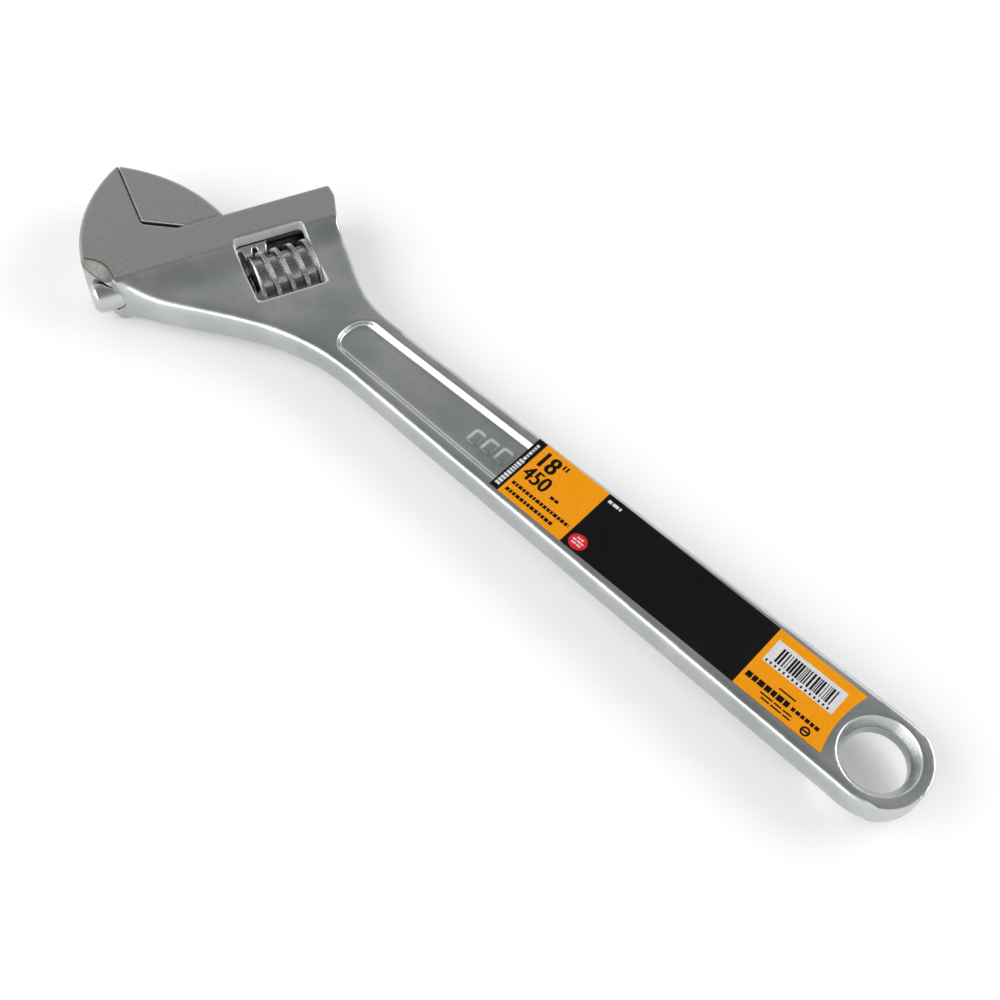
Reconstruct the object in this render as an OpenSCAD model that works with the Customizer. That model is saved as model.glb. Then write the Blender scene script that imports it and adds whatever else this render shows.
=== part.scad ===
// Adjustable wrench: forged body with a fixed jaw, a sliding jaw on a rack, and a worm knurl on a pin.
// Origin: centre of the hang hole, at mid thickness. X runs from the head to the hang hole. Z is up.
// Head parts are drawn in a head frame: u is the way the jaw opens, v points to the jaw tips.

/* [Handle] */
// Thickness of the handle
handle_thickness = 14.4; // [13.2:0.2:15.6]
// Radius of the handle's round end
handle_end_radius = 21.5; // [20.5:0.1:22.5]
// Angle of each long edge to the handle's centre line
handle_taper = 0.917; // [0.8:0.01:1]
// Depth of the recess in each broad face
recess_depth = 2.5; // [1:0.1:3.5]
// Radius of the hang hole's wall
hole_radius = 13; // [11:0.1:14]

/* [Head] */
// Thickness of the head over the jaws
head_thickness = 27; // [25:0.5:29]
// Distance from the hang hole to the head's reference corner, along the handle
head_reach = 388.7; // [386:0.1:391]
// Distance from the handle's centre line to the head's reference corner
head_drop = 31; // [30:0.1:32]
// Angle between the jaw faces and the handle
jaw_angle = 22.5; // [22:0.1:23]
// Radius of the rounded edge round the outside of both jaws
jaw_edge_radius = 2; // [1:0.1:5]

/* [Rack and knurl] */
// Radius of the rack bar under the sliding jaw
rack_radius = 7; // [6.5:0.1:7.2]
// Pitch of the knurl's thread and of the rack's teeth
thread_pitch = 7; // [6.5:0.1:7.5]
// Outer radius of the knurl
knurl_radius = 13; // [12.6:0.1:13.1]
// Gap each side of a thread in the rack's tooth space
thread_backlash = 0.4; // [0.3:0.05:0.5]
// Radius of the pin that carries the knurl
pin_radius = 3.2; // [2.8:0.1:3.6]

/* [Label] */
// Thickness of the paper label
label_thickness = 0.2; // [0.1:0.05:0.4]

/* [Hidden] */
$fn = 72;
half_handle = handle_thickness / 2;
half_head = head_thickness / 2;
over = 1;
far = 500;

// Head shape, in the head frame
platform_end = 88;
throat = [[14, 0, 0], [0, 8.1, 0]];
fixed_jaw_centre = [39.9, -10.9];
fixed_jaw_radius = 72.3;
sliding_jaw_centre = [-42.8, -21.4];
sliding_jaw_radius = 82.25;
ground_face_end = -19.5;
hollow_centre = [-34.2, 33.71];
hollow_radius = 25;
slope_start = [-33.59, 8.71];
slope_end = -95;

// Rack bar and the web that joins it to the sliding jaw
rack_v = -15.5;
rack_start = -32.3;
rack_end = 50.5;
rack_chamfer = 2;
running_gap = 0.08;
mouth_radius = 8.3;
mouth_end = -21.5;
scoop_centre = [-27.9, -11.7];
scoop_turn = -61;
scoop_tilt = 42;
scoop_radius = 21;
scoop_depth = 4.5;
web_start = 8;
web_end = 36;
web_thickness = 7;
web_gap = 0.15;
tooth_count = 10;
tooth_space_top = -18;
first_space = 43.5;

// Window, knurl, pin and spring
window_low = [35, -51.2];
window_high = [68, -16.4];
window_corner = 2.2;
knurl_v = -33.4;
knurl_start = 38.6;
knurl_end = 67.8;
knurl_chamfer = 0.7;
knurl_root = 10.4;
crest_half = 0.95;
flank_tangent = tan(12);
counterbore_radius = 5.1;
counterbore_depth = 3;
pin_start = 25.5;
pin_end = 83.4;
pin_head_radius = 4.8;
pin_head_length = 3;
pin_fit = 0.05;
spring_radius = 4.2;
spring_wire = 0.4;
spring_start = 35.2;
spring_length = 6.1;
spring_turns = 3;

// Hang hole, recess and label
hole_wall_half = 2.5;
hole_rim_radius = hole_radius + 3.4;
recess_land = 6.3;
recess_draft = 1.9;
recess_left = -289.5;
recess_corner = 9.5;
recess_end_radius = 24;
label_left = -188;
label_right = -19.3;
label_low = -15.3;
label_high = 16.4;
label_sag = 2.5;
sticker_centre = [-142.7, -10.7];
sticker_size = [4.2, 3.8];
sticker_thickness = 0.1;

function unit(v) = v / norm(v);
function dir(a) = [cos(a), sin(a)];
function flat(p) = [p[0], p[1]];

// Points of a fillet of radius r at b, between the edges from a and to c
function corner_arc(a, b, c, r) =
  r == 0 ? [b] :
  let (
    p = unit(a - b),
    q = unit(c - b),
    half = acos(p * q) / 2,
    centre = b + unit(p + q) * (r / sin(half)),
    first = b + p * (r / tan(half)) - centre,
    start = atan2(first[1], first[0]),
    sweep = (cross(b - a, c - b) > 0 ? 1 : -1) * (180 - 2 * half),
    steps = ceil(abs(sweep) / min(12, 170 / r))
  )
  [for (i = [0 : steps]) centre + r * dir(start + sweep * i / steps)];

// Outline through points [x, y, corner radius]
function round_poly(pts) =
  let (n = len(pts))
  [for (i = [0 : n - 1])
    each corner_arc(flat(pts[(i + n - 1) % n]), flat(pts[i]), flat(pts[(i + 1) % n]), pts[i][2])];

// A head-frame point [u, v, radius] moved to the handle's frame
function from_head(p) = [
  -head_reach + p[0] * sin(jaw_angle) - p[1] * cos(jaw_angle),
  -head_drop + p[0] * cos(jaw_angle) + p[1] * sin(jaw_angle),
  p[2]];

// Half width of the handle at x
function half_width(x) = (handle_end_radius + x * sin(handle_taper)) / cos(handle_taper);

// Jaw side of the body's outline, from the fixed jaw's tip down the near side
head_near = [
  [0, 48.1, 0], [-1.96, 48.1, 5.5], [-24.5, 31, 0], [-32, 15, 0], [-36, 4, 0], [-34.5, 0.2, 0],
  [-25, -17, 14], [-8, -34.6, 60], [20, -55.2, 150]];
// Far side of the head, from the neck up to the platform's end
head_far = [[84.9, -19, 40], [platform_end + 0.4, -7, 8], [platform_end, 0, 1.2]];
neck_near = [-297.5, -half_width(-297.5), 110];
neck_far = [-293.8, half_width(-293.8), 50];

module in_head() {
  translate([-head_reach, -head_drop, 0]) rotate([0, 0, 90 - jaw_angle]) children();
}

// A cylinder along u, centred on (v, z = 0)
module along_u(start, end, v, r) {
  translate([start, v, 0]) rotate([0, 90, 0]) cylinder(h = end - start, r = r);
}

// A plate with the outline given, from z = low to z = high
module plate(points, low, high) {
  translate([0, 0, low]) linear_extrude(high - low) polygon(points);
}

// Ring that rounds the top and bottom edges of a disc of the radius given, down to the edge radius
module edge_cutter(centre, radius) {
  arc_z = half_head - jaw_edge_radius + 0.06;
  inner = radius - jaw_edge_radius;
  corner = [for (a = [0 : 10 : 90]) [inner, arc_z] + jaw_edge_radius * dir(a)];
  upper = concat(corner, [[inner, half_head + 2], [radius + 12, half_head + 2]]);
  lower = [for (i = [len(upper) - 1 : -1 : 0]) [upper[i][0], -upper[i][1]]];
  translate(centre) rotate_extrude($fn = 240) polygon(concat(upper, lower));
}

function body_outline() = round_poly(concat(
  [for (p = head_near) from_head(p)],
  [neck_near],
  [for (a = [-90 + handle_taper : 6 : 90]) concat(handle_end_radius * dir(a), 0)],
  [concat(handle_end_radius * dir(90 - handle_taper), 0)],
  [neck_far],
  [for (p = head_far) from_head(p)],
  [for (p = throat) from_head(p)]));

// Thickness of the head along v: flat jaws, a hollow behind them, then a slope down to the handle
module thickness_profile() {
  hollow = [for (a = [-56 : -4 : -88]) hollow_centre + hollow_radius * dir(a)];
  upper = concat(
    [[70, half_head], [ground_face_end, half_head]], hollow,
    [slope_start, [slope_end, half_handle], [-far, half_handle]]);
  lower = [for (i = [len(upper) - 1 : -1 : 0]) [upper[i][0], -upper[i][1]]];
  translate([-100, 0, 0]) rotate([90, 0, 90]) linear_extrude(400) polygon(concat(upper, lower));
}

// One side of the recess: its wall follows the handle's far edge
module recess_side() {
  top = handle_end_radius - recess_land;
  bottom = half_handle - recess_depth;
  rise = recess_depth + over;
  section = [
    [-40, bottom], [top - recess_draft, bottom],
    [top - recess_draft + recess_draft * rise / recess_depth, bottom + rise], [-40, bottom + rise]];
  rotate([0, 0, handle_taper]) translate([-320, 0, 0]) rotate([90, 0, 90])
    linear_extrude(320) polygon(section);
}

module recess() {
  side = half_width(recess_left) - recess_land;
  outline = round_poly([
    [recess_left, -side, recess_corner], [0, -handle_end_radius, 0],
    [0, handle_end_radius, 0], [recess_left, side, recess_corner]]);
  difference() {
    intersection() {
      recess_side();
      mirror([0, 1, 0]) recess_side();
      plate(outline, 0, half_handle + 2 * over);
    }
    cylinder(h = 20, r = recess_end_radius);
  }
}

// Bevelled hang hole
module hang_hole() {
  cone = half_handle - hole_wall_half;
  slope = (hole_rim_radius - hole_radius) / cone;
  translate([0, 0, -20]) cylinder(h = 40, r = hole_radius);
  for (side = [0, 1]) {
    mirror([0, 0, side]) translate([0, 0, hole_wall_half])
      cylinder(h = cone + over, r1 = hole_radius, r2 = hole_rim_radius + slope * over);
  }
}

// Raised generic marks on the recess floor: three plain bars
module raised_marks() {
  for (i = [0 : 2]) {
    translate([-211 + i * 7.5, -4.5 + i * 0.6, half_handle - recess_depth - over]) {
      cube([4.5, 6.5, over + 0.6]);
    }
  }
}

// Scoops that thin the head on both faces beside the rack's mouth
module mouth_scoops() {
  for (side = [0, 1]) {
    mirror([0, 0, side]) translate(concat(scoop_centre, half_head - scoop_depth))
      rotate([scoop_tilt, 0, scoop_turn]) translate([0, 60, scoop_radius]) rotate([90, 0, 0])
        cylinder(h = 120, r = scoop_radius);
  }
}

module window_outline() {
  u0 = window_low[0];
  v0 = window_low[1];
  u1 = window_high[0];
  v1 = window_high[1];
  r = window_corner;
  plate(round_poly([[u0, v0, r], [u1, v0, r], [u1, v1, r], [u0, v1, r]]), -20, 20);
}

module body_forging() {
  slot_half = web_thickness / 2 + web_gap;
  color([0.62, 0.64, 0.66]) {
    difference() {
      intersection() {
        plate(body_outline(), -half_head, half_head);
        in_head() thickness_profile();
      }
      in_head() {
        intersection() {
          edge_cutter(fixed_jaw_centre, fixed_jaw_radius);
          translate([-70, -12, -30]) cube([70, 80, 60]);
        }
        along_u(-60, platform_end + 20, rack_v, rack_radius + running_gap);
        along_u(-60, mouth_end, rack_v, mouth_radius);
        mouth_scoops();
        translate([web_start - web_gap, rack_v, -slot_half]) cube([100, 40, 2 * slot_half]);
        window_outline();
        along_u(pin_start, window_low[0] + over, knurl_v, pin_radius + pin_fit);
        along_u(window_high[0] - over, platform_end + 20, knurl_v, pin_radius + pin_fit);
        along_u(pin_end - pin_head_length, platform_end + 20, knurl_v, pin_head_radius + pin_fit);
      }
      hang_hole();
      recess();
      mirror([0, 0, 1]) recess();
    }
    raised_marks();
  }
}

// Bar with both ends chamfered
module rack_bar() {
  shoulder = rack_radius - rack_chamfer;
  translate([rack_start, rack_v, 0]) rotate([0, 90, 0]) rotate_extrude() polygon([
    [0, 0], [shoulder, 0], [rack_radius, rack_chamfer],
    [rack_radius, rack_end - rack_start - rack_chamfer / 2],
    [rack_radius - rack_chamfer / 2, rack_end - rack_start], [0, rack_end - rack_start]]);
}

// Spaces between the rack's teeth, inclined to suit the thread
module tooth_spaces() {
  lead_angle = atan(thread_pitch / (2 * PI * knurl_radius));
  crest_v = knurl_v + knurl_radius;
  top_half = crest_half + thread_backlash - (tooth_space_top - crest_v) * flank_tangent;
  low_v = rack_v - rack_radius - over;
  low_half = crest_half + thread_backlash + (crest_v - low_v) * flank_tangent;
  section = [
    [-low_half, low_v], [low_half, low_v], [top_half, tooth_space_top], [-top_half, tooth_space_top]];
  for (i = [0 : tooth_count - 1]) {
    translate([first_space + thread_pitch - i * thread_pitch, 0, 0]) rotate([0, lead_angle, 0])
      plate(section, -9, 9);
  }
}

module movable_jaw() {
  base = 0.1;
  face = 0.05;
  outline = round_poly([
    [face, 10.2, 0], [17.7, base, 0], [38.6, base, 0], [38.6, 14, 0], [22.2, 35.3, 0],
    [face, 48.84, 1.5]]);
  color([0.6, 0.62, 0.64]) in_head() difference() {
    union() {
      difference() {
        plate(outline, -half_head, half_head);
        intersection() {
          edge_cutter(sliding_jaw_centre, sliding_jaw_radius);
          translate([-1, -5, -30]) cube([60, 80, 60]);
        }
      }
      translate([web_start, rack_v, -web_thickness / 2]) {
        cube([web_end - web_start, 5 - rack_v, web_thickness]);
      }
      rack_bar();
    }
    tooth_spaces();
  }
}

// Section of the thread: the crest covers the angles near zero
function thread_radius(a) =
  let (offset = abs(a) / 360 * thread_pitch)
  max(knurl_root, min(knurl_radius, knurl_radius - (offset - crest_half) / flank_tangent));

module knurl() {
  length = knurl_end - knurl_start;
  crest_angle = crest_half / thread_pitch * 360;
  root_angle = (crest_half + (knurl_radius - knurl_root) * flank_tangent) / thread_pitch * 360;
  angles = concat(
    [for (i = [-4 : 4]) crest_angle * i / 4],
    [for (i = [0 : 16]) root_angle + (360 - 2 * root_angle) * i / 16]);
  section = [for (a = angles) thread_radius(a > 180 ? a - 360 : a) * dir(a)];
  // Turn that puts a thread crest in the rack's tooth space at the rest position
  phase = -(first_space - knurl_start) / thread_pitch * 360;
  color([0.5, 0.51, 0.53]) in_head() {
    translate([knurl_start, knurl_v, 0]) rotate([90, 0, 90]) difference() {
      intersection() {
        rotate([0, 0, phase]) linear_extrude(
          length, twist = -360 * length / thread_pitch, slices = ceil(20 * length / thread_pitch), $fn = 12)
          polygon(section);
        rotate_extrude() polygon([
          [0, 0], [knurl_radius - knurl_chamfer, 0], [knurl_radius + 0.2, knurl_chamfer + 0.2],
          [knurl_radius + 0.2, length - knurl_chamfer - 0.2], [knurl_radius - knurl_chamfer, length],
          [0, length]]);
      }
      translate([0, 0, -over]) cylinder(h = length + 2 * over, r = pin_radius + running_gap);
      translate([0, 0, -over]) cylinder(h = counterbore_depth + over, r = counterbore_radius);
    }
  }
}

module knurl_pin() {
  color([0.42, 0.43, 0.45]) in_head() difference() {
    union() {
      along_u(pin_start + 0.2, pin_end, knurl_v, pin_radius);
      along_u(pin_end - pin_head_length + 0.05, pin_end, knurl_v, pin_head_radius);
    }
    translate([pin_end - 1.4, knurl_v - 0.6, -8]) cube([3, 1.2, 16]);
  }
}

// Compression spring: the section's angles are stretched so the wire comes out round
module pin_spring() {
  rise = spring_length - 2 * spring_wire;
  pitch = rise / spring_turns;
  section = [for (t = [0 : 45 : 315])
    (spring_radius + spring_wire * sin(t)) * dir(spring_wire * cos(t) * 360 / pitch)];
  color([0.55, 0.55, 0.57]) in_head() {
    translate([spring_start + spring_wire, knurl_v, 0]) rotate([90, 0, 90]) {
      linear_extrude(rise, twist = -360 * spring_turns, slices = 16 * spring_turns, $fn = 8)
        polygon(section);
    }
  }
}

module label() {
  low = [label_right + label_sag, label_low];
  high = [label_right + label_sag, label_high];
  height = label_high - label_low;
  radius = (pow(height / 2, 2) + pow(label_sag, 2)) / (2 * label_sag);
  half = asin(height / 2 / radius);
  middle = [label_right + radius, (label_low + label_high) / 2];
  concave = [for (i = [0 : 12]) middle + radius * dir(180 + half - 2 * half * i / 12)];
  outline = concat([[label_left, label_high], [label_left, label_low]], concave);
  color([0.9, 0.36, 0.1]) plate(outline, half_handle, half_handle + label_thickness);
}

module sticker() {
  outline = [for (t = [0 : 10 : 350]) sticker_centre
    + [sticker_size[0] * cos(t), sticker_size[1] * sin(t)]];
  bottom = half_handle + label_thickness;
  color([0.8, 0.1, 0.1]) plate(outline, bottom, bottom + sticker_thickness);
}

body_forging();
movable_jaw();
knurl();
knurl_pin();
pin_spring();
label();
sticker();
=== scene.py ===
import math

import bpy
import numpy as np
from mathutils import Matrix, Vector


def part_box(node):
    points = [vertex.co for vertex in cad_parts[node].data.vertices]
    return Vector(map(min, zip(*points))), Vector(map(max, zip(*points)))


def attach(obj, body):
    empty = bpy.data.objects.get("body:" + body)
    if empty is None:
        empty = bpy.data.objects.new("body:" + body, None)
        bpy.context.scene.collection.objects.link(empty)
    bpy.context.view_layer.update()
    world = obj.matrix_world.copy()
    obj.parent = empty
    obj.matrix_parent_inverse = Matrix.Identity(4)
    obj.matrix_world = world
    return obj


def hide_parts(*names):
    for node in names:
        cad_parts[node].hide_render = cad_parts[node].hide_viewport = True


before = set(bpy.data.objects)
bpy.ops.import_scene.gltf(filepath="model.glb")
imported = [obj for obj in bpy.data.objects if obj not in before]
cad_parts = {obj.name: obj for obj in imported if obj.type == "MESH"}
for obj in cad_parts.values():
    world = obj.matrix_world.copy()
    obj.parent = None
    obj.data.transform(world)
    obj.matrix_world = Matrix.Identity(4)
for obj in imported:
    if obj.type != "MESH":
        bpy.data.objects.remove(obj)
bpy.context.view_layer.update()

# Adjustable wrench: satin plated forging, ground jaws, knurled worm and a printed paper label.
MM = 0.001
DEG = math.pi / 180

# Head frame: u is the way the jaw opens, v points to the jaw tips (millimetres)
HEAD_ORIGIN = np.array([-388.7, -31.0])
OPENING = np.array([math.cos(67.5 * DEG), math.sin(67.5 * DEG)])
TOWARDS_TIPS = np.array([-OPENING[1], OPENING[0]])
GROUND_EDGE = -19.5
HALF_HEAD = 13.5
HALF_HANDLE = 7.2
TAPER = 0.016
END_RADIUS = 21.5
BOX_MARGIN = 0.001


def new_object(name, verts, faces):
    """A flat shaded mesh object from millimetre points."""
    me = bpy.data.meshes.new(name)
    me.from_pydata((np.asarray(verts, float) * MM).tolist(), [], [list(map(int, f)) for f in faces])
    me.update()
    ob = bpy.data.objects.new(name, me)
    bpy.context.scene.collection.objects.link(ob)
    return ob


def head_uv(co):
    """Places of the points in the head frame."""
    rel = co[:, :2] - HEAD_ORIGIN
    return rel @ OPENING, rel @ TOWARDS_TIPS


def remeshed(node, name, voxel):
    """An even copy of a CAD node's mesh, with its points in millimetres."""
    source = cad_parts[node]
    ob = bpy.data.objects.new(name + "_source", source.data.copy())
    bpy.context.scene.collection.objects.link(ob)
    weld = ob.modifiers.new("weld", "WELD")
    weld.merge_threshold = 1e-6
    even = ob.modifiers.new("even", "REMESH")
    even.mode = "VOXEL"
    even.voxel_size = voxel * MM
    evaluated = ob.evaluated_get(bpy.context.evaluated_depsgraph_get())
    me = bpy.data.meshes.new_from_object(evaluated)
    bpy.data.objects.remove(ob)
    out = bpy.data.objects.new(name, me)
    me.name = name
    bpy.context.scene.collection.objects.link(out)
    co = np.zeros(len(me.vertices) * 3)
    me.vertices.foreach_get("co", co)
    return out, co.reshape(-1, 3) / MM


def soften(ob, co, weight, rounds, node):
    """Rounds the edges: each point moves part of the way to the mean of its neighbours."""
    low, high = (np.array(corner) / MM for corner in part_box(node))
    me = ob.data
    edges = np.zeros(len(me.edges) * 2, np.int64)
    me.edges.foreach_get("vertices", edges)
    a, b = edges.reshape(-1, 2).T
    count = np.bincount(a, minlength=len(co)) + np.bincount(b, minlength=len(co))
    for _ in range(rounds):
        total = np.empty_like(co)
        for axis in range(3):
            total[:, axis] = (np.bincount(a, co[b, axis], len(co))
                              + np.bincount(b, co[a, axis], len(co)))
        co = co + weight[:, None] * 0.5 * (total / count[:, None] - co)
    co = np.clip(co, low + BOX_MARGIN, high - BOX_MARGIN)
    me.vertices.foreach_set("co", (co * MM).ravel())
    me.polygons.foreach_set("use_smooth", [True] * len(me.polygons))
    me.update()
    return co


def zone_attribute(ob, values, name="ground"):
    """A mask from 0 to 1 on the points, which steel() reads."""
    layer = ob.data.attributes.new(name, "FLOAT", "POINT")
    layer.data.foreach_set("value", np.asarray(values, np.float32))


# ---------------------------------------------------------------- materials
def material(name):
    mat = bpy.data.materials.new(name)
    mat.use_nodes = True
    tree = mat.node_tree
    return mat, tree, tree.nodes["Principled BSDF"]


def link(tree, source, target):
    tree.links.new(source, target)


def noise(tree, scale, detail=4.0, rough=0.55, stretch=(1, 1, 1), turn=0.0):
    """Noise in object space; scale is per metre."""
    coords = tree.nodes.new("ShaderNodeTexCoord")
    place = tree.nodes.new("ShaderNodeMapping")
    place.inputs["Scale"].default_value = stretch
    place.inputs["Rotation"].default_value = (0, 0, turn)
    link(tree, coords.outputs["Object"], place.inputs["Vector"])
    tex = tree.nodes.new("ShaderNodeTexNoise")
    tex.inputs["Scale"].default_value = scale
    tex.inputs["Detail"].default_value = detail
    tex.inputs["Roughness"].default_value = rough
    link(tree, place.outputs["Vector"], tex.inputs["Vector"])
    return tex.outputs["Fac"]


def remap(tree, source, low, high, from_low=0.3, from_high=0.7):
    node = tree.nodes.new("ShaderNodeMapRange")
    node.inputs["From Min"].default_value = from_low
    node.inputs["From Max"].default_value = from_high
    node.inputs["To Min"].default_value = low
    node.inputs["To Max"].default_value = high
    link(tree, source, node.inputs["Value"])
    return node.outputs["Result"]


def ramp(tree, source, stops, constant=False):
    node = tree.nodes.new("ShaderNodeValToRGB")
    band = node.color_ramp
    if constant:
        band.interpolation = "CONSTANT"
    while len(band.elements) < len(stops):
        band.elements.new(0.5)
    for element, (place, colour) in zip(band.elements, stops):
        element.position = place
        element.color = (*colour, 1)
    link(tree, source, node.inputs["Fac"])
    return node.outputs["Color"]


def mix(tree, factor, a, b, colour=True):
    node = tree.nodes.new("ShaderNodeMix")
    node.data_type = "RGBA" if colour else "FLOAT"
    sockets = {"RGBA": (6, 7, 2), "FLOAT": (2, 3, 0)}[node.data_type]
    link(tree, factor, node.inputs[0])
    link(tree, a, node.inputs[sockets[0]])
    link(tree, b, node.inputs[sockets[1]])
    return node.outputs[sockets[2]]


def bump(tree, height, strength, distance, normal=None):
    node = tree.nodes.new("ShaderNodeBump")
    node.inputs["Strength"].default_value = strength
    node.inputs["Distance"].default_value = distance
    link(tree, height, node.inputs["Height"])
    if normal:
        link(tree, normal, node.inputs["Normal"])
    return node.outputs["Normal"]


def attribute(tree, name):
    node = tree.nodes.new("ShaderNodeAttribute")
    node.attribute_name = name
    return node.outputs["Fac"]


def steel(name, dark, light, rough, grain=0.15, plate_scale=28.0, ground=None, painted_shade=None,
          matte_and_painted_light=None):
    """Steel with cloudy plating and fine grain; attributes mark ground faces, painted shade, and matt
    faces with a lighter painted tone.
    """
    mat, tree, shader = material(name)
    shader.inputs["Metallic"].default_value = 1.0
    cloud = noise(tree, plate_scale, 5.0, 0.6)
    fine = noise(tree, 1700.0, 3.0, 0.6)
    colour = ramp(tree, cloud, [(0.32, dark), (0.68, light)])
    roughness = remap(tree, cloud, rough - 0.05, rough + 0.06)
    normal = bump(tree, fine, grain, 0.00012)
    normal = bump(tree, noise(tree, 160.0, 3.0, 0.5), 0.12, 0.0003, normal)
    # Ground faces; where the body's mask covers the scoops, this tone is painted shade.
    if ground:
        mask = attribute(tree, "ground")
        scratch = noise(tree, 900.0, 3.0, 0.7, (1, 0.05, 1), -22.5 * DEG)
        spots = noise(tree, 520.0, 5.0, 0.75)
        ground_and_shade_tone = ramp(tree, spots, [(0.3, ground[0]), (0.7, ground[1])])
        colour = mix(tree, mask, colour, ground_and_shade_tone)
        roughness = mix(tree, mask, roughness, remap(tree, spots, ground[2] - 0.05, ground[2] + 0.07),
                        False)
        height = mix(tree, mask, fine, scratch, False)
        normal = bump(tree, height, grain * 1.6, 0.00015, normal)
    # Matt walls get less metal, more roughness and a lighter tone, which is painted light standing in
    # for a reflection.
    if matte_and_painted_light:
        mask = attribute(tree, "matte_and_painted_light")
        colour = mix(tree, mask, colour, ramp(tree, fine, [(0.3, matte_and_painted_light[0]), (0.7, matte_and_painted_light[1])]))
        roughness = mix(tree, mask, roughness, remap(tree, fine, 0.45, 0.6), False)
        link(tree, remap(tree, mask, 1.0, 0.3, 0, 1), shader.inputs["Metallic"])
    # Painted shade where the attribute marks hollows, gaps and thread roots.
    if painted_shade:
        shade_tone = ramp(tree, noise(tree, 900.0), [(0.3, painted_shade[0]), (0.7, painted_shade[1])])
        colour = mix(tree, attribute(tree, "painted_shade"), colour, shade_tone)
    link(tree, colour, shader.inputs["Base Color"])
    link(tree, roughness, shader.inputs["Roughness"])
    link(tree, normal, shader.inputs["Normal"])
    return mat


def paper(name, low, high, rough=0.38):
    """Printed paper: a slightly uneven ink film."""
    mat, tree, shader = material(name)
    shader.inputs["Specular IOR Level"].default_value = 0.16
    ink = noise(tree, 900.0, 4.0, 0.6)
    link(tree, ramp(tree, ink, [(0.35, low), (0.65, high)]), shader.inputs["Base Color"])
    link(tree, remap(tree, ink, rough - 0.04, rough + 0.05), shader.inputs["Roughness"])
    link(tree, bump(tree, noise(tree, 2600.0), 0.08, 0.00005), shader.inputs["Normal"])
    return mat


# Tone of the ground faces; on the scoops beside the rack's mouth it is painted shade.
GROUND = ((0.338, 0.345, 0.326), (0.398, 0.405, 0.386), 0.42)
# Painted shade: dark tone for the rack bore, the web slot, the gap between the jaws and the scoops.
PAINTED_SHADE_TONE = ((0.05, 0.047, 0.045), (0.12, 0.115, 0.11))
# Matt window walls: a lighter tone painted on, standing in for the bright light they reflect.
WALL = ((0.55, 0.555, 0.555), (0.72, 0.72, 0.72))
PLATED = steel("satin_plated_steel", (0.445, 0.462, 0.462), (0.575, 0.59, 0.588), 0.25,
               ground=GROUND, painted_shade=PAINTED_SHADE_TONE, matte_and_painted_light=WALL)
JAW_STEEL = steel("ground_jaw_steel", (0.50, 0.51, 0.52), (0.62, 0.63, 0.64), 0.25, ground=GROUND)
# Knurl steel; the thread roots get a darker painted shade.
KNURL_STEEL = steel("knurl_steel", (0.50, 0.505, 0.51), (0.70, 0.71, 0.72), 0.2, 0.3, 240.0,
                    painted_shade=((0.20, 0.20, 0.203), (0.38, 0.38, 0.385)))
PIN_STEEL = steel("pin_steel", (0.25, 0.255, 0.26), (0.42, 0.425, 0.43), 0.3, 0.25, 200.0)
SPRING_STEEL = steel("spring_steel", (0.22, 0.22, 0.225), (0.38, 0.38, 0.39), 0.3, 0.25, 300.0)

# ---------------------------------------------------------------- forged body
RACK_V = -15.5
SCOOP_U, SCOOP_V, SCOOP_Z, SCOOP_RADIUS = -27.9, -11.7, 9.0, 21.0
SCOOP_TURN, SCOOP_TILT = -61 * DEG, 42 * DEG
BODY_VOXEL, BODY_ROUNDS = 0.42, 110
NEAR_RIM, FAR_RIM = 3.2, 2.2
HOLE_RIM = 18.6
# How far a point moves in each round: high on the soft outer edges, low where edges stay crisp
HEAD_SOFT, HANDLE_SOFT, NECK_SOFT = 1.7, 1.3, 0.45
FACE_CRISP, WINDOW_CRISP, MARK_CRISP, GROUND_CRISP = 0.14, 0.10, 0.07, 0.065
GROUND_Z = 12.2
SCOOP_SHADE = 0.75
WINDOW_U, WINDOW_V = (34.4, 68.6), (-51.8, -15.8)
AROUND_WINDOW_U, AROUND_WINDOW_V = (31.5, 71.5), (-55.0, -12.0)
NECK_X, MARKS_X, HANDLE_X = (-345, -270), (-214, -189), -285


def scoop_distance(u, v, z):
    """Distance from the axis of the scoops beside the rack's mouth."""
    du, dv = u - SCOOP_U, v - SCOOP_V
    along = du * math.cos(SCOOP_TURN) + dv * math.sin(SCOOP_TURN)
    inward = dv * math.cos(SCOOP_TURN) - du * math.sin(SCOOP_TURN)
    up = (np.abs(z) - SCOOP_Z) * math.cos(SCOOP_TILT) - inward * math.sin(SCOOP_TILT)
    return np.hypot(along, up - SCOOP_RADIUS)


def within(values, low, high):
    return (values > low) & (values < high)


def body_softness(co):
    """Weight of each point of the body for soften()."""
    x, y, z = co.T
    u, v = head_uv(co)
    rim = END_RADIUS + TAPER * x - np.abs(y)
    weight = np.full(len(co), HEAD_SOFT)
    weight[x > HANDLE_X] = HANDLE_SOFT
    weight[within(x, *NECK_X) & (y > 10)] = NECK_SOFT
    weight[(x > -300) & (rim > np.where(y < 0, NEAR_RIM, FAR_RIM))] = FACE_CRISP
    weight[np.hypot(x, y) < HOLE_RIM] = WINDOW_CRISP
    weight[v > GROUND_EDGE - 2.0] = GROUND_CRISP
    weight[within(u, *AROUND_WINDOW_U) & within(v, *AROUND_WINDOW_V)] = WINDOW_CRISP
    weight[(u < -8) & (np.abs(v - RACK_V) < 8.8) & (np.abs(z) < 9)] = GROUND_CRISP
    weight[within(x, *MARKS_X) & (np.abs(y) < 6) & (np.abs(z) < 7)] = MARK_CRISP
    return weight


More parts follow.
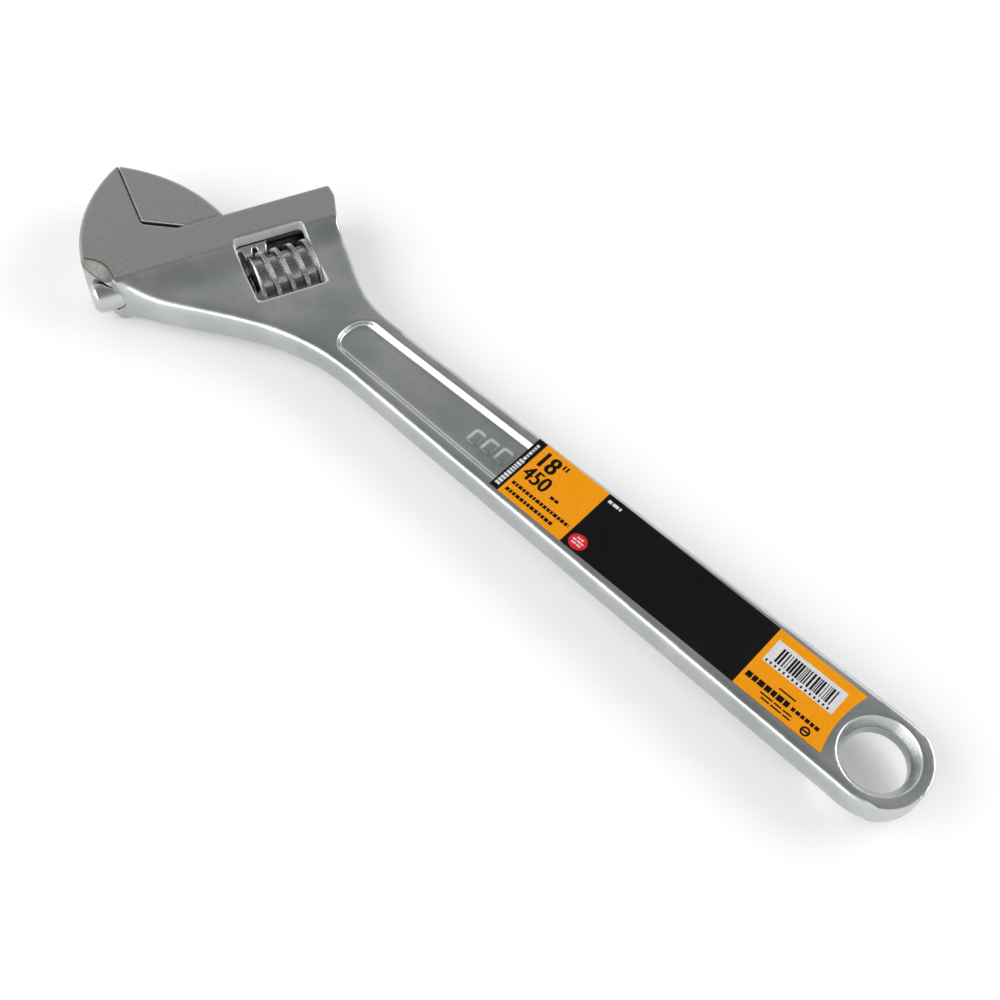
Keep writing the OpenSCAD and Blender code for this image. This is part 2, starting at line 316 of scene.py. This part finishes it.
def body_zones(ob, co):
    """Marks the ground faces, painted shade in the bore, slot, jaw gap and scoops, and the matt
    window walls, whose lighter tone is painted light.
    """
    u, v = head_uv(co)
    height = np.abs(co[:, 2])
    # Painted shade: the scoops get the ground tone and part of the dark tone, to dim the light they
    # reflect.
    in_scoop = (u < -15) & (np.abs(scoop_distance(u, v, height) - SCOOP_RADIUS) < 0.5)
    ground = np.clip((v - GROUND_EDGE + 0.4) / 0.8, 0, 1) * (height > GROUND_Z)
    zone_attribute(ob, np.maximum(ground, in_scoop))
    # Painted shade in the rack bore, the web slot and the gap between the jaws; the gap's dark line
    # stays on the fixed jaw's face when the jaws open.
    in_slot = (height < 4.2) & within(v, RACK_V, -1.0) & (u > 8.4)
    in_bore = (np.hypot(v - RACK_V, height) < 7.6) & (u > -19.0)
    in_gap = (u > -0.8) & within(v, 9, 47.5) & (height > 11)
    zone_attribute(ob, np.maximum(in_bore | in_slot | in_gap, in_scoop * SCOOP_SHADE), "painted_shade")
    # Matt window walls with a lighter tone, painted light standing in for their bright reflection.
    in_window = within(u, *WINDOW_U) & within(v, *WINDOW_V) & (height < 13.0)
    zone_attribute(ob, in_window & ~in_bore & ~in_slot, "matte_and_painted_light")


body, co = remeshed("body_forging", "body_forging_detail", BODY_VOXEL)
co = soften(body, co, body_softness(co), BODY_ROUNDS, "body_forging")
body_zones(body, co)
body.data.materials.clear()
body.data.materials.append(PLATED)
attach(body, "body")
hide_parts("body_forging")

# ---------------------------------------------------------------- sliding jaw
JAW_VOXEL, JAW_SOFT, JAW_ROUNDS = 0.4, 0.2, 18
jaw, co = remeshed("movable_jaw", "movable_jaw_detail", JAW_VOXEL)
co = soften(jaw, co, np.full(len(co), JAW_SOFT), JAW_ROUNDS, "movable_jaw")
u, v = head_uv(co)
zone_attribute(jaw, (v > -1) & (np.abs(co[:, 2]) > GROUND_Z))
jaw.data.materials.clear()
jaw.data.materials.append(JAW_STEEL)
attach(jaw, "jaw")
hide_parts("movable_jaw")

# ---------------------------------------------------------------- knurl
KNURL_START, KNURL_END, KNURL_V = 38.6, 67.8, -33.4
PITCH, CREST_AT, CREST_HALF = 7.0, 43.5, 0.95
OUTER, ROOT, BORE, CHAMFER = 13.0, 10.4, 3.28, 0.7
COUNTER_RADIUS, COUNTER_DEPTH = 5.1, 3.0
GROOVES, GROOVE_DEPTH, POINTS_PER_GROOVE = 96, 0.2, 6
FLANK_ANGLE, ALONG_STEPS = 12 * DEG, 190


def knurl_radius(along, angle):
    """Radius of the threaded and grooved surface at a place along u and an angle from +v to +Z."""
    offset = (along - CREST_AT - PITCH * angle / 360 + PITCH / 2) % PITCH - PITCH / 2
    r = OUTER - (np.abs(offset) - CREST_HALF) / math.tan(FLANK_ANGLE)
    r = np.clip(r, ROOT, OUTER)
    crest = np.clip((r - 12.0) / 0.8, 0, 1)
    tooth = np.abs((angle * GROOVES / 360) % 1.0 - 0.5) * 2
    r = r - crest * GROOVE_DEPTH * tooth
    end = np.minimum(along - KNURL_START, KNURL_END - along)
    return np.minimum(r, OUTER - CHAMFER + end)


def knurl_mesh():
    """Rings along the thread, then round the bore and the counterbore, joined in a closed loop."""
    turns = GROOVES * POINTS_PER_GROOVE
    angle = np.arange(turns) * 360 / turns
    along = np.linspace(KNURL_START, KNURL_END, ALONG_STEPS)
    rings = [(np.full(turns, a), knurl_radius(a, angle)) for a in along]
    rings.append((np.full(turns, KNURL_END), np.full(turns, BORE)))
    rings.append((np.full(turns, KNURL_START + COUNTER_DEPTH), np.full(turns, BORE)))
    rings.append((np.full(turns, KNURL_START + COUNTER_DEPTH), np.full(turns, COUNTER_RADIUS)))
    rings.append((np.full(turns, KNURL_START), np.full(turns, COUNTER_RADIUS)))
    verts = []
    for a, r in rings:
        vv = KNURL_V + r * np.cos(angle * DEG)
        xy = HEAD_ORIGIN + a[:, None] * OPENING + vv[:, None] * TOWARDS_TIPS
        verts.append(np.column_stack([xy, r * np.sin(angle * DEG)]))
    verts = np.concatenate(verts)
    faces = []
    count = len(rings)
    for i in range(count):
        j = (i + 1) % count
        for k in range(turns):
            m = (k + 1) % turns
            faces.append((i * turns + k, i * turns + m, j * turns + m, j * turns + k))
    return verts, faces


knurl = new_object("knurl_detail", *knurl_mesh())
knurl.data.materials.append(KNURL_STEEL)
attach(knurl, "knurl")
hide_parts("knurl")
co = np.array([p.co for p in knurl.data.vertices]) / MM
u, v = head_uv(co)
# Painted shade: darker towards the thread roots.
zone_attribute(knurl, np.clip((12.3 - np.hypot(v - KNURL_V, co[:, 2])) / 0.9, 0, 1), "painted_shade")

for node, mat in (("knurl_pin", PIN_STEEL), ("pin_spring", SPRING_STEEL)):
    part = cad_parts[node]
    part.data.materials.clear()
    part.data.materials.append(mat)

# ---------------------------------------------------------------- label
LABEL_LEFT, LABEL_RIGHT, LABEL_LOW, LABEL_HIGH, LABEL_SAG = -188.0, -19.3, -15.3, 16.4, 2.5
LABEL_THICKNESS, LABEL_DIP, RECESS_HALF = 0.2, 0.12, 13.5
AMBER, AMBER_LIGHT = (0.73, 0.255, 0.001), (0.81, 0.30, 0.002)
BLACK, BLACK_LIGHT = (0.0012, 0.0011, 0.0014), (0.003, 0.0028, 0.0034)
WHITE, WHITE_LIGHT = (0.55, 0.55, 0.56), (0.68, 0.68, 0.69)
BANDS = ((LABEL_LEFT, "black"), (-183.4, "amber"), (-148.6, "black"), (-59.3, "amber"))


def label_height(x, y):
    """Top of the label: it dips a little where it bridges the recess."""
    width = RECESS_HALF + TAPER * x
    dip = np.clip(1 - (np.asarray(y, float) / width) ** 2, 0, 1)
    return HALF_HANDLE + LABEL_THICKNESS - LABEL_DIP * dip


def label_end(y):
    """Concave end of the label beside the hang hole."""
    middle = (LABEL_LOW + LABEL_HIGH) / 2
    half = (LABEL_HIGH - LABEL_LOW) / 2
    return LABEL_RIGHT + LABEL_SAG * ((np.asarray(y, float) - middle) / half) ** 2


def printed_material(name):
    """Paper with amber and black bands along the handle."""
    mat, tree, shader = material(name)
    shader.inputs["Specular IOR Level"].default_value = 0.16
    coords = tree.nodes.new("ShaderNodeTexCoord")
    split = tree.nodes.new("ShaderNodeSeparateXYZ")
    link(tree, coords.outputs["Object"], split.inputs[0])
    length = LABEL_RIGHT + LABEL_SAG - LABEL_LEFT
    place = remap(tree, split.outputs["X"], 0, 1, LABEL_LEFT * MM, (LABEL_RIGHT + LABEL_SAG) * MM)
    low = {"amber": AMBER, "black": BLACK}
    high = {"amber": AMBER_LIGHT, "black": BLACK_LIGHT}
    stops_low = [((x - LABEL_LEFT) / length, low[c]) for x, c in BANDS]
    stops_high = [((x - LABEL_LEFT) / length, high[c]) for x, c in BANDS]
    ink = remap(tree, noise(tree, 700.0, 4.0, 0.6), 0, 1)
    colour = mix(tree, ink, ramp(tree, place, stops_low, True), ramp(tree, place, stops_high, True))
    link(tree, colour, shader.inputs["Base Color"])
    link(tree, remap(tree, noise(tree, 60.0), 0.34, 0.46), shader.inputs["Roughness"])
    height = noise(tree, 2200.0)
    link(tree, bump(tree, height, 0.1, 0.00005, bump(tree, noise(tree, 45.0), 0.12, 0.0008)),
         shader.inputs["Normal"])
    return mat


def label_mesh(nx=120, ny=30, thick=0.18):
    """A closed thin sheet that follows label_height()."""
    ys = np.linspace(LABEL_LOW, LABEL_HIGH, ny)
    verts = []
    for down in (0.0, thick):
        for i in range(nx + 1):
            xs = LABEL_LEFT + (label_end(ys) - LABEL_LEFT) * i / nx
            verts.append(np.column_stack([xs, ys, label_height(xs, ys) - down]))
    verts = np.concatenate(verts)
    half = (nx + 1) * ny
    faces = []
    for i in range(nx):
        for j in range(ny - 1):
            a = i * ny + j
            faces.append((a, a + ny, a + ny + 1, a + 1))
            faces.append((a + half, a + half + 1, a + half + ny + 1, a + half + ny))
    rim = ([i * ny for i in range(nx + 1)] + [nx * ny + j for j in range(1, ny)]
           + [i * ny + ny - 1 for i in range(nx - 1, -1, -1)] + list(range(ny - 2, 0, -1)))
    for a, b in zip(rim, rim[1:] + rim[:1]):
        faces.append((a, a + half, b + half, b))
    return verts, faces


label = new_object("label_sheet", *label_mesh())
label.data.materials.append(printed_material("printed_label"))
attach(label, "body")
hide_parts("label")

INK_RISE, BAR_RISE, MARK_RISE = 0.03, 0.05, 0.13
STICKER_TOP, STICKER_THICKNESS = 0.10, 0.09


def ink_boxes(boxes, step=1.5):
    """Flat printed boxes (x0, y0, x1, y1) laid on the label."""
    verts, faces = [], []
    for x0, y0, x1, y1 in boxes:
        n = max(1, int(abs(y1 - y0) / step))
        ys = np.linspace(y0, y1, n + 1)
        for k in range(n):
            base = len(verts)
            for x, y in ((x0, ys[k]), (x1, ys[k]), (x1, ys[k + 1]), (x0, ys[k + 1])):
                verts.append((x, y, float(label_height(x, y)) + INK_RISE))
            faces.append((base, base + 1, base + 2, base + 3))
    return verts, faces


def raised(shape, rise):
    """The same print at another height over the label."""
    verts, faces = shape
    return [(x, y, z - INK_RISE + rise) for x, y, z in verts], faces


def ink_text(text, x, y, size, rise=0.0):
    """Generic size numerals as flat outlines, returned as points and faces."""
    curve = bpy.data.curves.new("numerals", "FONT")
    curve.body = text
    curve.size = size * MM
    ob = bpy.data.objects.new("numerals", curve)
    bpy.context.scene.collection.objects.link(ob)
    me = bpy.data.meshes.new_from_object(ob.evaluated_get(bpy.context.evaluated_depsgraph_get()))
    pts = np.array([p.co for p in me.vertices]).reshape(-1, 3) / MM
    faces = [tuple(p.vertices) for p in me.polygons]
    bpy.data.objects.remove(ob)
    pts[:, 0] = pts[:, 0] * 0.82 + x
    pts[:, 1] += y
    pts[:, 2] = label_height(pts[:, 0], pts[:, 1]) + INK_RISE + rise
    return pts.tolist(), faces


def ink_ring(x, y, radius, inner, n=48):
    """A flat round ring; inner is its hole as a share of its size."""
    verts, faces = [], []
    for k in range(n):
        a = 2 * math.pi * k / n
        for f in (1.0, inner):
            px, py = x + radius * f * math.cos(a), y + radius * f * math.sin(a)
            verts.append((px, py, float(label_height(px, py)) + INK_RISE))
    for k in range(n):
        m = (k + 1) % n
        faces.append((2 * k, 2 * m, 2 * m + 1, 2 * k + 1))
    return verts, faces


def thin_disc(x, y, rx, ry, top, thick, n=72):
    """A closed oval sheet that lies on the label."""
    angles = [2 * math.pi * k / n for k in range(n)]
    rim = [(x + rx * math.cos(a), y + ry * math.sin(a)) for a in angles]
    verts = [(px, py, float(label_height(px, py)) + top) for px, py in rim]
    verts += [(px, py, pz - thick) for px, py, pz in verts]
    verts.append((x, y, float(label_height(x, y)) + top))
    verts.append((x, y, float(label_height(x, y)) + top - thick))
    faces = []
    for k in range(n):
        m = (k + 1) % n
        faces += [(k, m, 2 * n), (n + m, n + k, 2 * n + 1), (k, n + k, n + m, m)]
    return verts, faces


def joined(parts):
    """One shape from several (points, faces) pairs."""
    verts, faces = [], []
    for vs, fs in parts:
        faces += [tuple(i + len(verts) for i in f) for f in fs]
        verts += list(vs)
    return verts, faces


def dashes(x0, x1, y, height, lengths, gap):
    """A line of plain dashes that stands in for small print."""
    boxes, x, k = [], x0, 0
    while x < x1:
        end = min(x1, x + lengths[k % len(lengths)])
        boxes.append((x, y, end, y + height))
        x = end + gap
        k += 1
    return boxes


# Size numerals, and dashes in place of the small print
rng = np.random.default_rng(18450)
black_parts = [
    *[ink_text("18", -182.4 + d, 5.4, 12.4, 0.004 * d) for d in (0.0, 0.4, 0.8)],
    *[ink_text("450", -182.0 + d, -3.3, 10.6, 0.004 * d) for d in (0.0, 0.3, 0.6)],
    ink_boxes([(-170.9, 11.2, -170.0, 13.8), (-169.2, 11.2, -168.3, 13.8)]),
    ink_boxes(dashes(-165.2, -160.8, -3.2, 1.5, (1.9,), 0.5)),
    ink_boxes(dashes(-181.6, -150.4, -8.7, 1.7, (1.5, 1.1, 1.9, 1.3, 1.6), 0.45)),
    ink_boxes(dashes(-181.6, -155.8, -12.9, 1.7, (1.7, 1.2, 1.4, 1.9), 0.45)),
    ink_boxes(dashes(-57.4, -37.0, -9.6, 2.7, (2.6, 2.1, 2.9), 0.5)),
    ink_boxes(dashes(-35.6, -22.6, -9.2, 1.7, (1.6, 1.9), 0.5)),
    ink_boxes(dashes(-44.0, -36.0, -5.2, 0.7, (8.5,), 0.6)),
    ink_boxes(dashes(-48.5, -33.5, -11.6, 0.7, (6.0, 3.5), 0.7)),
    ink_boxes(dashes(-47.0, -33.0, -13.3, 0.7, (4.0, 5.0), 0.7)),
    ink_ring(-26.2, -12.4, 2.1, 0.62), ink_boxes([(-27.6, -12.8, -24.8, -12.0)])]
# Plain random bars in the white field
bars = []
x = -52.6
while x < -26.4:
    wide = float(rng.choice([0.35, 0.6, 0.95]))
    bars.append((x, 2.9, x + wide, 10.2))
    x += wide + float(rng.choice([0.35, 0.5, 0.8]))
white_parts = [
    ink_boxes([(-56.4, 0.4, -22.9, 12.0)]),
    ink_boxes(dashes(-146.6, -139.8, 12.6, 1.5, (1.8, 2.9), 0.6))]
strip_y = -13.2
while strip_y < 14.0:
    tall = float(rng.choice([0.9, 1.3, 1.7]))
    left, right_side = (-187.0, -184.6) if strip_y < 2 else (-186.5, -185.1)
    white_parts.append(ink_boxes([(left, strip_y, right_side, strip_y + tall)]))
    strip_y += tall + 0.5
black_parts += [raised(ink_boxes(bars), BAR_RISE),
                raised(ink_boxes(dashes(-55.4, -24.0, 0.9, 1.2, (0.8,), 1.3)), BAR_RISE)]

for name, parts, mat in (("label_print_black", black_parts, paper("black_ink", BLACK, BLACK_LIGHT)),
                         ("label_print_white", white_parts, paper("white_ink", WHITE, WHITE_LIGHT))):
    ink = new_object(name, *joined(parts))
    ink.data.materials.append(mat)
    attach(ink, "body")

# ---------------------------------------------------------------- sticker
STICKER_X, STICKER_Y, STICKER_HALF = -142.7, -10.7, (4.2, 3.8)
sticker_shape = thin_disc(STICKER_X, STICKER_Y, *STICKER_HALF, STICKER_TOP, STICKER_THICKNESS)
sticker = new_object("sticker_disc", *sticker_shape)
sticker.data.materials.append(paper("red_ink", (0.55, 0.012, 0.02), (0.68, 0.025, 0.035), 0.3))
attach(sticker, "body")
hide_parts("sticker")
sticker_marks = []
for row, (half, n) in enumerate(((1.6, 2), (2.7, 3), (2.4, 2))):
    y = STICKER_Y + 1.3 - row * 1.5
    sticker_marks += dashes(STICKER_X - half, STICKER_X + half, y, 0.8, (2 * half / n,), 0.35)
marks = new_object("sticker_print", *raised(ink_boxes(sticker_marks), MARK_RISE))
marks.data.materials.append(paper("sticker_white_ink", (0.6, 0.45, 0.45), (0.75, 0.6, 0.6)))
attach(marks, "body")

# ---------------------------------------------------------------- floor, light and camera
FLOOR_HALF, FLOOR_GLOW = 6000, 0.16
corners = [(-1, -1), (1, -1), (1, 1), (-1, 1)]
floor = new_object("floor", [(FLOOR_HALF * a, FLOOR_HALF * b, -HALF_HEAD) for a, b in corners],
                   [(0, 1, 2, 3)])
mat, tree, shader = material("pale_floor")
shader.inputs["Roughness"].default_value = 0.9
floor_tone = ramp(tree, noise(tree, 3.0), [(0.3, (0.83, 0.83, 0.83)), (0.7, (0.85, 0.85, 0.85))])
link(tree, floor_tone, shader.inputs["Base Color"])
link(tree, floor_tone, shader.inputs["Emission Color"])
shader.inputs["Emission Strength"].default_value = FLOOR_GLOW
floor.data.materials.append(mat)

world = bpy.data.worlds.new("studio")
bpy.context.scene.world = world
world.use_nodes = True
tree = world.node_tree
coords = tree.nodes.new("ShaderNodeTexCoord")
split = tree.nodes.new("ShaderNodeSeparateXYZ")
link(tree, coords.outputs["Generated"], split.inputs[0])
sky = ramp(tree, split.outputs["Z"], [(0.0, (1.12, 1.12, 1.12)), (0.46, (1.05, 1.05, 1.05)),
                                      (0.72, (0.40, 0.405, 0.405)), (0.86, (0.33, 0.335, 0.335)),
                                      (1.0, (0.27, 0.275, 0.275))])
link(tree, sky, tree.nodes["Background"].inputs["Color"])
tree.nodes["Background"].inputs["Strength"].default_value = 1.0


def softbox(name, place, aim, size, power):
    """A rectangular area light that faces aim."""
    data = bpy.data.lights.new(name, "AREA")
    data.shape = "RECTANGLE"
    data.size, data.size_y = size
    data.energy = power
    ob = bpy.data.objects.new(name, data)
    bpy.context.scene.collection.objects.link(ob)
    ob.location = place
    ob.rotation_mode = "QUATERNION"
    ob.rotation_quaternion = (Vector(aim) - Vector(place)).to_track_quat("-Z", "Y")


CENTRE = (-0.2, 0.0, 0.0)
softbox("key_light", (0.75, 1.35, 0.95), CENTRE, (1.5, 0.8), 16)
softbox("front_fill", (-0.75, -1.15, 0.92), CENTRE, (2.0, 1.25), 17)

# The camera was fitted to the photo: its angles, its place in metres and its lens
AZIMUTH, ELEVATION, ROLL = -38.262 * DEG, 57.722 * DEG, -5.599 * DEG
CAMERA_PLACE, LENS = (0.008234, -0.255827, 0.486239), 49.182
forward = np.array([math.sin(AZIMUTH) * math.cos(ELEVATION),
                    math.cos(AZIMUTH) * math.cos(ELEVATION), -math.sin(ELEVATION)])
level = np.array([math.cos(AZIMUTH), -math.sin(AZIMUTH), 0.0])
down = np.cross(forward, level)
right = math.cos(ROLL) * level + math.sin(ROLL) * down
image_down = -math.sin(ROLL) * level + math.cos(ROLL) * down
turn = Matrix((right, -image_down, -forward)).transposed().to_4x4()
camera_data = bpy.data.cameras.new("camera")
camera_data.sensor_width = 36.0
camera_data.lens = LENS
camera_data.clip_start = 0.02
camera_data.clip_end = 50.0
camera = bpy.data.objects.new("camera", camera_data)
bpy.context.scene.collection.objects.link(camera)
camera.matrix_world = Matrix.Translation(CAMERA_PLACE) @ turn
bpy.context.scene.camera = camera
bpy.context.scene.view_settings.view_transform = "Standard"
